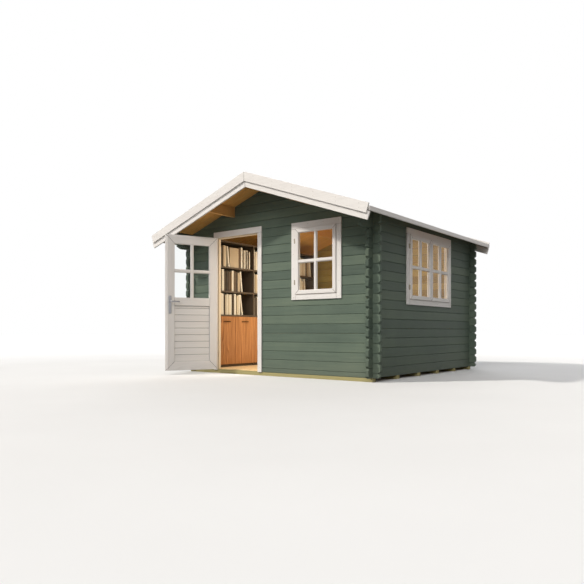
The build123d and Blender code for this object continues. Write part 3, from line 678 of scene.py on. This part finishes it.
def grooved(length, count, half_width, depth, board=None):
    """Places along a row of boards, their depths, and the tone of each place's board. The depth is 0 at
    a V's lips, half of it where its slit starts, and full at the slit's foot. The boards share the
    length if no width is given for them, or else the last one is cut."""
    joints = np.arange(1, count) * (board or length / count)
    offsets = np.array([-half_width, -HALF_SLIT, -HALF_SLIT, HALF_SLIT, HALF_SLIT, half_width])
    sink = np.array([0.0, 0.5, 1.0, 1.0, 0.5, 0.0]) * depth
    places = np.concatenate([[0.0], (joints[:, None] + offsets).ravel(), [length]])
    depths = np.concatenate([[0.0], np.tile(sink, len(joints)), [0.0]])
    sides = np.arange(len(joints))[:, None] + [0, 0, 0, 1, 1, 1]
    number = np.concatenate([[0], sides.ravel(), [len(joints)]])
    return places, depths, own_tone(number, 0.3)


def lay_boards(name, node, wood, rings, tones, depths, along=0):
    """A row of boards from its rings of four points, darkened by dust and painted shade in proportion to
    depth.
    """
    pile = Pile()
    pile.tube(rings, np.repeat(tones, 4), along=along, dust=np.repeat(depths / depths.max(), 4))
    pile.piece(name, wood, "pine", replaces=[node])


def roof_boards(side):
    """Each ring is the slope's section ridge, eave, eave top, ridge top; rings march from front to rear."""
    name = "roof_boards_" + side
    low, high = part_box(name)
    places, depths, tones = grooved(high[1] - low[1], ROOF_BOARDS, half_width=0.006, depth=0.008)
    ridge, eave = (high[0], low[0]) if side == "left" else (low[0], high[0])
    lift = high[2] - low[2] - (high[0] - low[0]) * ROOF_SLOPE
    section = np.array([high[2] - lift, low[2], low[2] + lift, high[2]])
    rings = grid([ridge, eave, eave, ridge], low[1] + places[:, None],
                 section + depths[:, None] * [1, 1, 0, 0])
    lay_boards("soffit_boards_" + side, name, soffit_pine, rings, tones, depths)


def floor_boards():
    """Rings are the floor's section front low, rear low, rear top, front top, from left to right."""
    low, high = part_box("floor")
    places, depths, tones = grooved(high[0] - low[0], FLOOR_BOARDS, half_width=0.002, depth=0.004)
    section = np.array([low[2], low[2], high[2], high[2]])
    rings = grid(low[0] + places[:, None], [low[1], high[1], high[1], low[1]],
                 section - depths[:, None] * [0, 0, 1, 1])
    lay_boards("floor_boards", "floor", floor_pine, rings, tones, depths, along=1)


roof_boards("left")
roof_boards("right")
floor_boards()

# %% [markdown]
# ## The door, drawn shut
# It is easiest to think of the door as shut, with its width along X. The same turn about the hinge pin
# that opens the solids then opens every new piece on it, and the turn back squares its frame up for the
# grain and measures its solids.

# %% The turn that opens the door
hinge = frame["joints"][0]
OPEN = -radians(hinge["range_deg"][1])
PIN = np.array([*hinge["pos_m"][:2], 0.0])
TIGHT = 0.0003


def turned(points, angle):
    """Turns points about the pin: x' = x cos a - y sin a, y' = x sin a + y cos a."""
    away = np.asarray(points, float) - PIN
    x = away[..., 0] * cos(angle) - away[..., 1] * sin(angle)
    y = away[..., 0] * sin(angle) + away[..., 1] * cos(angle)
    return grid(x, y, away[..., 2]) + PIN


def opened(points):
    return turned(points, OPEN)


def shut(node):
    """Lowest and highest corner of a solid on the door, with the door turned shut."""
    points = turned(read(nodes[node].data.vertices, "co", 3, np.float32), -OPEN)
    return points.min(0), points.max(0)


print("shut leaf", *(corner.round(4) for corner in shut("door_leaf")))

# %% Door leaf and panel
PANEL_BOARD, PANEL_BOARDS = 0.0895, 9
RIM, TOP_RIM = 0.006, 0.010


def door_panel():
    """Level boards between the stiles, with a V on both faces: rings march upwards. Dust and painted shade
    fill the V's, and painted shade fades over the rims, which are the strips along the stiles and rails."""
    (left, front, low), (right, rear, high) = shut("door_panel")
    places, depths, tones = grooved(high - low, PANEL_BOARDS, 0.0055, 0.0065, PANEL_BOARD)
    places, depths, tones = (np.insert(a, [1, len(a) - 1], b) for a, b in (
        (places, (RIM, high - low - TOP_RIM)), (depths, 0.0), (tones, (tones[0], tones[-1]))))
    across = [left, left + RIM, right - RIM, right]
    half_thick = (rear - front) / 2 - depths[:, None]
    rings = grid(across + across[::-1], np.repeat([-1, 1], 4) * half_thick + (front + rear) / 2,
                 low + places[:, None])
    # Painted shade along the rims, darkest at the top rim under the rail, as a painted shadow; the V's hold
    # dust and painted shade.
    dust = np.maximum(depths[:, None] / depths.max(), [0.8, 0, 0, 0.8, 0.8, 0, 0, 0.8])
    dust[[0, -1]] = [[0.7], [1.0]]
    pile = Pile()
    pile.tube(rings, np.repeat(tones, 8), place=opened, dust=dust.ravel())
    pile.piece("door_panel_boards", white, "white_paint", body="door", replaces=["door_panel"])


ease("eased_door_leaf", "door_leaf", white, "white_paint", square=lambda p: turned(p, -OPEN), body="door")
door_panel()

# %% [markdown]
# ## Glazing bars and beads
# Each sash is parted by an upright and a level bar, and a slim bead holds every pane. Both are one idea:
# a ring round the visible pane whose section climbs from the glass to nearly the face of the sash. On
# the sides that meet a neighbour pane the ring is wide and reaches the middle of the glazing bar, and on
# the sides that meet the sash it is a narrow bead. Corners come out mitred by themselves, because each
# point of the section moves along both sides at once.

# %% Panes
BEAD = np.array([0.0, 0.0, 0.004, 0.0055, 0.0055])
BAR = np.array([0.0, 0.0, 0.0095, 0.0225, 0.0225])
RISE = np.array([0.0, 0.25, 1.0, 1.0, 0.0])
HALF_GLASS = 0.0022
DOOR_BAR_RISE, WINDOW_BAR_RISE = 0.0155, 0.018


def pane_ring(cell, borders, glass_face, out, height):
    """Point k of the section sits widest - offset[k] inside the cell, and RISE[k] * height off the glass."""
    x0, x1, z0, z1 = cell
    inset = [offset[-1] - offset for offset in (BEAD if border else BAR for border in borders)]
    left, right, low, high = x0 + inset[0], x1 - inset[1], z0 + inset[2], z1 - inset[3]
    return grid(np.stack([left, right, right, left], -1), (glass_face + out * RISE * height)[:, None],
                np.stack([low, low, high, high], -1))


def glazing(pile, low, high, height, place):
    """Two by two panes between a sheet's corners, ringed on both faces of the glass."""
    xs, zs = np.linspace(low[0], high[0], 3), np.linspace(low[2], high[2], 3)
    for i, j, out in ((i, j, out) for i in range(2) for j in range(2) for out in (-1, 1)):
        cell = (xs[i], xs[i + 1], zs[j], zs[j + 1])
        face = (low[1] + high[1]) / 2 + out * HALF_GLASS
        ring = pane_ring(cell, (i == 0, i == 1, j == 0, j == 1), face, out, height)
        pile.put(ring, grid_faces(5, 4, True, True), 0.5, along=2, place=place)


def on_front(points):
    """From a wall laid out flat, with its outer face at y = 0, to the front wall."""
    return points + np.array([0, FRONT, 0])


def on_right(points):
    """The same for the right wall, whose outer face looks along X."""
    return grid(HALF_WIDTH - points[..., 1], points[..., 0], points[..., 2])


def front_box(node):
    """A box on the front wall, laid out flat."""
    return np.array(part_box(node)) - [0, FRONT, 0]


def right_box(node):
    """The same for the right wall: flat (x, y, z) is (y, half width - x, z) of the cabin."""
    return np.array(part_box(node))[:, [1, 0, 2]] * [1, -1, 1] + [0, HALF_WIDTH, 0]


def glaze_all():
    """The side window has two sheets of glass, each as wide as the front window's."""
    door, windows = Pile(), Pile()
    glazing(door, *shut("door_glass"), DOOR_BAR_RISE, opened)
    door.piece("door_glazing_bars", white, "white_paint", body="door")
    low, high = front_box("front_window_glass")
    width = high[0] - low[0]
    glazing(windows, low, high, WINDOW_BAR_RISE, on_front)
    low, high = right_box("side_window_glass")
    for left in (low[0], high[0] - width):
        glazing(windows, (left, *low[1:]), (left + width, *high[1:]), WINDOW_BAR_RISE, on_right)
    windows.piece("window_glazing_bars", white, "white_paint")


glaze_all()

# %% [markdown]
# ## Metal and glass
# The door's handles are satin steel, hinges and nails are plated with zinc, and the bookcase's pulls are
# dark: a fine brushing, and a roughness that drifts a little. The panes are clear float glass.

# %% Metals and glass
def metal_material(name, colour, rough):
    mix = Recipe(name, Metallic=1.0)
    brush = mix.noise(mix.stretch(mix.here(), (1, 1, 0.08)), 420.0, 2.0, 0.5)
    smear = mix.noise(mix.here(), 30.0, 2.0)
    return mix.finish(mix.blend(smear * 0.3, solid(colour), solid(colour, 0.75)), brush * 0.15 + rough,
                      brush, 0.00005)


def glass_material():
    mix = Recipe("window_glass", Transmission_Weight=1.0, IOR=1.15)
    film = mix.noise(mix.here(), 3.0, 3.0)
    return mix.finish(mix.blend(film, solid((0.95, 0.965, 0.955)), solid((0.92, 0.945, 0.935))),
                      film * 0.02, film, 0.00002)


steel = metal_material("satin_steel", tint(158, 158, 161), 0.32)
zinc = metal_material("zinc_plate", tint(158, 150, 134), 0.42)
dark_metal = metal_material("dark_pull_metal", tint(70, 56, 46), 0.40)
glass = glass_material()
dress(zinc, "window_hinges", "hinges_frame_side", "hinges_leaf_side")
dress(glass, "front_window_glass", "side_window_glass", "door_glass")
print("materials:", len(bpy.data.materials))

# %% [markdown]
# ## The lever handles
# A lever on each face turns on one spindle. A handle is an oval carried along a bent path: straight out
# from the plate, round a bend, and along the door, getting flatter towards the tip, where its size falls
# to nothing like the edge of a coin. Plates, collars and the lock's cylinder are stacked outlines.

# %% Ovals along a path
def swept_ovals(path, flat, tall, sides):
    """Rings path + across * flat * cos(a), with height tall * sin(a), for a path in the XY plane."""
    tangent = np.gradient(path, axis=0)
    tangent /= np.linalg.norm(tangent, axis=1, keepdims=True)
    across = np.stack([tangent[:, 1], -tangent[:, 0]], -1)
    turn = np.linspace(0, 2 * np.pi, sides, endpoint=False)
    wide, rise = np.multiply.outer(flat, np.cos(turn)), np.multiply.outer(tall, np.sin(turn))
    return grid(path[:, :1] + across[:, :1] * wide, path[:, 1:] + across[:, 1:] * wide, rise)


def plate_rings(face, out, centre, size, thick, edge, power):
    """Outlines of |x/a|^p + |z/b|^p = 1: at the door, at the edge's foot, halfway up, and inset on top."""
    turn = np.linspace(0, 2 * np.pi, 48, endpoint=False)
    c, s = np.cos(turn), np.sin(turn)
    inset = np.array([0.0, 0.0, 0.4 * edge, edge])[:, None]
    rise = np.array([0.0, thick - edge, thick - 0.35 * edge, thick])[:, None]
    return grid(centre[0] + (size[0] / 2 - inset) * np.sign(c) * np.abs(c) ** (2 / power), face + out * rise,
                centre[1] + (size[1] / 2 - inset) * np.sign(s) * np.abs(s) ** (2 / power))


print("points of a short sweep:", swept_ovals(np.eye(2), 1.0, 1.0, 8).shape)

# %% Lever handles and plates
LEAF_LOW, LEAF_HIGH = shut("door_leaf")
SPINDLE, HANDLE = LEAF_HIGH[0] - 0.056, BASE + 0.936
REACH, BEND, GRIP = 0.024, 0.020, 0.104
PLATE, RADIUS = 0.0070, 0.0085

# Foot off the leaf, centre above the spindle, width and height, thickness, edge, and outline power of
# the plate, its collar, the lock's cylinder and two screws.
STACK = ((0.0, -0.042, (0.038, 0.240), PLATE, 0.0015, 9.0),
         (PLATE, 0.0, (0.024, 0.024), 0.0035, 0.0010, 2.0),
         (PLATE, -0.078, (0.017, 0.017), 0.0025, 0.0006, 2.0),
         (PLATE, 0.062, (0.008, 0.008), 0.0012, 0.0006, 2.0),
         (PLATE, -0.146, (0.008, 0.008), 0.0012, 0.0006, 2.0))


def lever_rings(face, out):
    """The path goes straight out, round a quarter bend, then along -X. Ovals ride on it."""
    straight = np.stack([np.zeros(6), np.linspace(-0.010, REACH, 6)], -1)
    angle = np.linspace(0, np.pi / 2, 10)[1:]
    bend = np.stack([-BEND * (1 - np.cos(angle)), REACH + BEND * np.sin(angle)], -1)
    run = np.linspace(0, 1, 26)[1:]
    grip = np.stack([-BEND - GRIP * run, REACH + BEND + 0.002 * np.sin(run * np.pi)], -1)
    path = np.concatenate([straight, bend, grip])
    t = np.linspace(0, 1, len(path))
    tip = np.sqrt(np.clip((1.0 - t) / 0.06, 0.0, 1.0)) * 0.97 + 0.03
    flat = (RADIUS - 0.0025 * np.clip((t - 0.3) / 0.5, 0, 1)) * tip
    tall = (RADIUS + 0.0015 * np.clip((t - 0.4) / 0.5, 0, 1)) * tip
    return swept_ovals(path, flat, tall, 20) * [1, out, 1] + [SPINDLE, face, HANDLE]


def door_furniture():
    levers, plates = Pile(), Pile()
    for face, out in ((LEAF_LOW[1] - TIGHT, -1), (LEAF_HIGH[1] + TIGHT, 1)):
        levers.tube(lever_rings(face, out), place=opened)
        for foot, centre, size, thick, edge, power in STACK:
            plate = plate_rings(face + out * foot, out, (SPINDLE, HANDLE + centre), size, thick, edge, power)
            plates.tube(plate, place=opened)
    levers.piece("lever_handles", steel, "steel", body="lever", smooth=True, replaces=["door_lever"])
    plates.piece("handle_plates", steel, "steel", body="door", replaces=["door_handle_plates"])


door_furniture()

# %% [markdown]
# ## Nails
# Trims and edge boards are nailed on. Each head is a low dome of zinc, 7 mm across: a few rings whose
# height follows a circle's arc, worked out once at the origin and then set out along the boards, facing
# the way that the board faces. The heads stand clear of the boards' ends, as a joiner would set them.

# %% Nail heads
HEAD_RADIUS, HEAD_HEIGHT = 0.0035, 0.0009
NAIL_INSET, DOOR_NAIL_INSET, DOOR_NAILS = 0.03, 0.033, 7
COVER_BOARD, COVER_REACH, COVER_NAILS = 0.110, 1.65, 12


def head_rings():
    """Ring k has radius r cos(a) and height h sin(a), for angles a from just below the wood to the top."""
    angle = np.radians([-20, 0, 30, 55, 80])[:, None]
    turn = np.linspace(0, 2 * np.pi, 10, endpoint=False)
    radius = HEAD_RADIUS * np.cos(angle)
    return grid(radius * np.cos(turn), -HEAD_HEIGHT * np.sin(angle), radius * np.sin(turn))


def trim_nails(low, high):
    """Two upright rows and two level rows round a trim, from the corners of its flat box."""
    (left, _, foot), (right, _, top) = low + NAIL_INSET, high - NAIL_INSET
    level = np.linspace(left, right, 4)[1:-1]
    return [(x, z) for x in (left, right) for z in np.linspace(foot, top, 6)] + [
        (x, z) for x in level for z in (foot, top)]


def nail_boards():
    """The trims of the door and windows are equally thick, so their nails share one face."""
    pile = Pile()
    door_low, door_high = front_box("door_trim")
    door_rows = [(x, z) for x in (door_low[0] + DOOR_NAIL_INSET, door_high[0] - DOOR_NAIL_INSET)
                 for z in np.linspace(door_low[2] + 0.06, door_high[2] - 0.13, DOOR_NAILS)]
    for rows, wall in ((trim_nails(*front_box("front_window_trim")), on_front),
                       (trim_nails(*right_box("side_window_trim")), on_right), (door_rows, on_front)):
        for x, z in rows:
            pile.tube(head_rings() + (x, door_low[1], z), 0.5, place=wall)
    low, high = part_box("front_cover_boards")
    for x in np.linspace(-COVER_REACH, COVER_REACH, COVER_NAILS):
        for share in (0.3, 0.7):
            place = (x, low[1], high[2] - abs(x) * ROOF_SLOPE - COVER_BOARD * share)
            pile.tube(head_rings() + place, 0.5)
    pile.piece("nail_heads", zinc, "steel", smooth=True)


nail_boards()

# %% [markdown]
# ## Roofing felt
# The roof is covered with mineral felt in strips that run along the eaves, each lapping the one below
# by a hand's width, and a narrow strip caps the ridge. The surface is height as a function of distance
# from the ridge: each strip lifts a little from the slope towards its lower edge, where it lies on the
# next one, and steps down there.

# %% Felt
LAPS_ON_SLOPE, CAP = 3.6, 0.125
STEP, HALF_STEP = 0.0022, 0.0015


def felt_material():
    mix = Recipe("mineral_felt", Specular_IOR_Level=0.3)
    grit = mix.noise(mix.here(), 900.0, 2.0, 0.7)
    cloud = mix.noise(mix.stretch(mix.here(), (1, 0.4, 1)), 2.0, 4.0)
    colour = mix.ramp(grit * 0.6 + cloud * 0.4, (0.3, tint(46, 47, 48)), (0.7, tint(104, 104, 103)))
    return mix.finish(colour, grit * 0.2 + 0.75, grit, 0.0012)


def felt_covering():
    """Sections across the slope, front and rear. Below the cap, the top lies STEP * (1 - u) under the
    highest plane, where u runs from 0 to 1 down each strip."""
    low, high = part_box("roof_felt")
    half = (high[0] - low[0]) / 2
    thick = (high[2] - low[2]) - half * ROOF_SLOPE
    lap = half / LAPS_ON_SLOPE
    edges = np.append(np.arange(1, 4) * lap, CAP)
    away = np.sort(np.concatenate([np.linspace(0.00015, half, 25), edges - HALF_STEP, edges + HALF_STEP]))
    sink = np.where(away < CAP, TIGHT, TIGHT + STEP * (1 - np.mod(away, lap) / lap))
    top, under = high[2] - away * ROOF_SLOPE - sink, high[2] - away * ROOF_SLOPE - thick
    pile = Pile()
    for side in (-1, 1):
        pile.tube(grid(side * np.concatenate([away, away[::-1]]), [[low[1]], [high[1]]],
                       np.concatenate([top, under[::-1]])))
    pile.piece("felt_strips", felt_material(), "felt", replaces=["roof_felt"])


felt_covering()

# %% [markdown]
# ## Bow handles
# The bookcase doors have slim bow handles: two short legs and a bar with bent corners. Half of the path
# is a leg and a quarter bend. The other half is its mirror image, and the bar lies between the two, so
# only one half is written down.

# %% Pulls on the bookcase doors
CASE_LOW, CASE_HIGH = (np.array(corner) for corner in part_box("bookcase_carcass"))
BAYS, CASE_BOARD, DOOR_GAP = 3, 0.022, 0.003
CASE_BAY = (CASE_HIGH[1] - CASE_LOW[1] - CASE_BOARD) / BAYS
LEG, CORNER, HALF_BOW = 0.014, 0.006, 0.066
HALF_FLAT, HALF_TALL = 0.003, 0.0058


def bow_rings(front, centre, height):
    """Ovals carried along leg, bend and bar. The path is (out from the door, along the door)."""
    angle = np.linspace(0, np.pi / 2, 6)
    leg = np.stack([np.linspace(0.0, LEG, 3), np.full(3, -HALF_BOW)], -1)
    bend = np.stack([LEG + CORNER * np.sin(angle), CORNER - HALF_BOW - CORNER * np.cos(angle)], -1)
    half = np.concatenate([leg, bend[1:]])
    path = np.concatenate([half, half[::-1] * [1, -1]])
    return swept_ovals(path, HALF_FLAT, HALF_TALL, 12) + [front, centre, height]


def bow_handles():
    low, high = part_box("bookcase_pulls")
    door = (CASE_BAY - CASE_BOARD - 2 * TIGHT - 3 * DOOR_GAP) / 2
    pile = Pile()
    for i, j in ((i, j) for i in range(BAYS) for j in range(2)):
        start = CASE_LOW[1] + i * CASE_BAY + CASE_BOARD + DOOR_GAP + TIGHT
        pile.tube(bow_rings(low[0], start + j * (door + DOOR_GAP) + door / 2, (low[2] + high[2]) / 2))
    pile.piece("bow_handles", dark_metal, "steel", smooth=True, replaces=["bookcase_pulls"])


bow_handles()

# %% [markdown]
# ## Lipped fronts
# The doors' oak fronts lap over the edges of the case, so that from outside they meet with only a slit
# between them. A front is a thin plate: its outline at the back, at the foot of its eased edge and on its
# face, where it is a little smaller.

# %% Fronts of the bookcase doors
FRONT_DROP, HALF_GAP = 0.030, 0.0015
FRONT_EDGE, FRONT_FACE, FRONT_EASE = 0.0015, 0.0022, 0.0007


def lipped_fronts():
    """Six plates side by side. Each outline runs round left, right, right, left, from the foot upwards."""
    low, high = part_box("bookcase_doors")
    foot, width = low[2] - FRONT_DROP, CASE_BAY / 2
    inset = np.array([0.0, 0.0, FRONT_EASE])[:, None]
    pile = Pile()
    for i in range(2 * BAYS):
        left = CASE_LOW[1] + CASE_BOARD / 2 + i * width + HALF_GAP
        right = left + width - 2 * HALF_GAP
        pile.tube(grid(high[0] + np.array([TIGHT, FRONT_EDGE, FRONT_FACE])[:, None],
                       np.array([left, right, right, left]) + inset * [1, -1, -1, 1],
                       np.array([foot, foot, high[2], high[2]]) + inset * [1, 1, -1, -1]),
                  own_tone(i, 0.2), along=2)
    pile.piece("bookcase_fronts", oak, "case_door")


lipped_fronts()

# %% [markdown]
# ## Books
# The shelves hold plain books in cream, grey and brown covers. Most stand upright, and where a row ends
# one leans on its neighbour. A book is a block with a bowed spine, and its tone is the number that the
# cover's recipe reads: 0 is cream and 1 nearly black. The first bay, which the doorway shows, is laid
# out book by book. The others come from a seeded random generator, so each run gives the same shelves.

# %% Books
SHELVES = np.unique(read(nodes["bookcase_shelves"].data.vertices, "co", 3, np.float32)[:, 2].round(4))[1::2]
BOW, CREAM = 0.006, 0.03


def cover_material():
    mix = Recipe("book_covers", Specular_IOR_Level=0.3)
    cloth = mix.noise(mix.here(), 300.0, 2.0, 0.6)
    colour = mix.ramp(mix.attribute("tone"), (0.0, tint(234, 225, 203)), (0.4, tint(206, 188, 156)),
                      (0.6, tint(160, 136, 104)), (0.8, tint(96, 77, 60)), (1.0, tint(34, 30, 28)))
    worn = mix.noise(mix.stretch(mix.here(), (1, 1, 0.2)), 40.0, 3.0)
    return mix.finish(mix.blend(worn * 0.3, colour, solid(tint(160, 142, 116))), cloth * 0.2 + 0.6,
                      cloth, 0.0004)


def book_rings(depth, width, height, lean):
    """An outline with a bowed spine at foot and head. A lean turns it about its lower front edge."""
    bow = np.linspace(-np.pi / 2, np.pi / 2, 7)
    x = np.concatenate([[-depth], BOW * np.cos(bow) - BOW, [-depth]])
    y = np.concatenate([[0.0], (np.sin(bow) + 1) * width / 2, [width]])
    rise = np.array([0.0, height])[:, None]
    return grid(x, y * cos(lean) - rise * sin(lean), y * sin(lean) + rise * cos(lean))


# Each book: width and height in millimetres, and tone, in a row from the shelf's front end.
FIRST_BAY = (
    ((40, 295, .05), (42, 300, .15), (44, 310, .08), (26, 305, .02), (26, 290, .97), (24, 285, .3),
     (28, 300, .1), (30, 296, .3), (26, 290, .12), (26, 300, .02), (36, 285, .95), (38, 308, .03),
     (16, 280, .85), (32, 290, .4), (30, 300, .1)),
    ((30, 290, .97), (28, 285, .7), (54, 295, .97), (46, 310, .06), (40, 290, .92), (44, 298, 1.),
     (38, 285, .9), (22, 280, .66), (36, 305, .1), (40, 298, .85), (50, 288, .97), (46, 280, .5)),
    ((24, 300, .9), (30, 292, .3), (42, 300, .04), (36, 285, .97), (38, 305, .45), (30, 300, .35),
     (40, 0, 0), (188, 288, .5), (25, 300, .92), (26, 292, .8), (33, 312, .03), (18, 270, .95),
     (22, 275, .1), (24, 280, .04), (18, 265, .9), (27, 285, .05), (12, 260, .95), (25, 262, .15)))

# Lengths of the random rows in millimetres, and how far the last book of each shelf leans, in radians.
ROW_LENGTHS = ((560, 690, 520), (690, 480, 600))
LEANS = (0.155, 0.11, 0.10)

# Depth, width, height and lean of a book in a gap, and how far its foot and the row move on.
GAP_BOOK, GAP_FOOT, GAP_REST = (0.19, 0.026, 0.300, 0.11), 0.0335, 0.021
LAST_BOOK = (0.19, 0.025, 0.306)


def random_row(dice, length):
    """Widths and heights in millimetres, and mostly light covers, until the length is full."""
    widths, heights = dice.uniform(16, 44, 40), dice.uniform(262, 312, 40)
    tones = dice.choice([0.02, 0.1, 0.3, 0.5, 0.66, 0.85, 0.96], 40, p=[.24, .18, .14, .1, .12, .12, .1])
    return list(zip(widths, heights, tones))[:int(np.searchsorted(np.cumsum(widths), length))]


def stand_row(pile, dice, row, start, shelf, leaning):
    """Stands a row side by side. A width with no height is a gap, in which a book leans back."""
    y, last = start + 0.004, 0.3
    for width, height, tone in (np.array(book) / (1000, 1000, 1) for book in row):
        place = np.array([CASE_HIGH[0] - dice.uniform(0.010, 0.030), y, shelf])
        if height:
            pile.tube(book_rings(dice.uniform(0.16, 0.21), width, height, 0.0) + place, tone)
        else:
            pile.tube(book_rings(*GAP_BOOK) + place + (0, GAP_FOOT, 0), CREAM)
            y += GAP_REST
        y, last = y + width + dice.uniform(0.0005, 0.004), height or 0.30
    if leaning:
        place = np.array([CASE_HIGH[0] - 0.018, y + last * tan(leaning), shelf])
        pile.tube(book_rings(*LAST_BOOK, leaning) + place, CREAM)


def shelve_books():
    """The first two shelves of a bay end in a leaning book, and so does the third, but for the first bay."""
    dice = np.random.default_rng(11)
    pile = Pile()
    rows = [FIRST_BAY] + [[random_row(dice, length) for length in lengths] for lengths in ROW_LENGTHS]
    for i, bay in enumerate(rows):
        start = CASE_LOW[1] + CASE_BOARD + TIGHT + i * CASE_BAY
        for row, shelf, leaning in zip(bay, SHELVES, LEANS if i else (*LEANS[:2], 0.0)):
            stand_row(pile, dice, row, start, shelf + 0.0004, leaning)
    pile.piece("books", cover_material(), "case_wood")


shelve_books()
